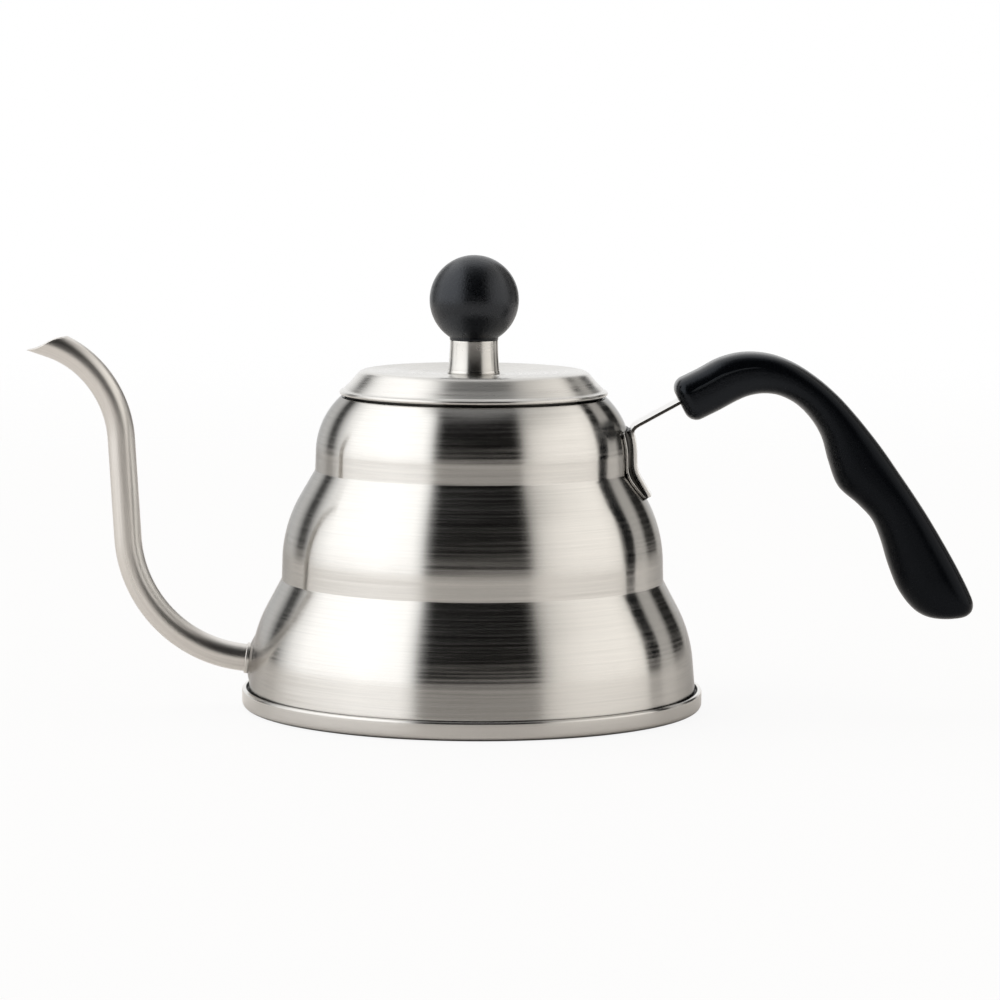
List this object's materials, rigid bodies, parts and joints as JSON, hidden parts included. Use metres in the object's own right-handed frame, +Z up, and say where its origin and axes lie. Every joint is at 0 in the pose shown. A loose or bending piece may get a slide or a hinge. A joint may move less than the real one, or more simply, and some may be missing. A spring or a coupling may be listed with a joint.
{
  "type": "gooseneck kettle",
  "caption": "Low stepped steel kettle with a thin swan-neck spout, a lift-off lid with a ball knob, and a wavy dark handle on a flat strap.",
  "frame": {"origin": "centre of the resting ring, on the surface the kettle stands on", "axes": "+Z up along the body's axis, +X towards the handle, -X towards the spout, -Y towards a viewer who has the spout on the left"},
  "size_m": [0.2941, 0.143, 0.1402],
  "materials": {
    "body_steel": "brushed round the axis, warm grey satin",
    "base_steel": "brushed round the axis, smooth rolled edge",
    "spout_steel": "fine satin along the tube",
    "bracket_steel": "bright pressed sheet with smooth edges",
    "lid_steel": "brushed round the axis, satin",
    "stem_steel": "brushed round the stem, satin",
    "fastener_steel": "bright zinc-plated screws and washers",
    "phenolic": "black moulded phenolic, fine satin grain",
    "brass": "machined brass"
  },
  "bodies": {
    "kettle": {"body_shell": "body_steel", "base_pan": "base_steel", "spout_tube": "spout_steel", "spout_collar": "spout_steel", "handle_bracket": "bracket_steel", "handle_strap": "bracket_steel", "handle_grip": "phenolic", "grip_inserts": "brass", "grip_screws": "fastener_steel"},
    "lid": {"lid_cover": "lid_steel", "lid_skirt": "lid_steel", "knob_stem": "stem_steel", "knob_ball": "phenolic", "knob_insert": "brass", "knob_screw": "fastener_steel", "knob_washer": "fastener_steel", "knob_lock_washer": "fastener_steel"}
  },
  "joints": [
    {"name": "lid_lift", "type": "slide", "parent": "kettle", "child": "lid", "axis": [0, 0, 1], "range_m": [0, 0.07]}
  ]
}
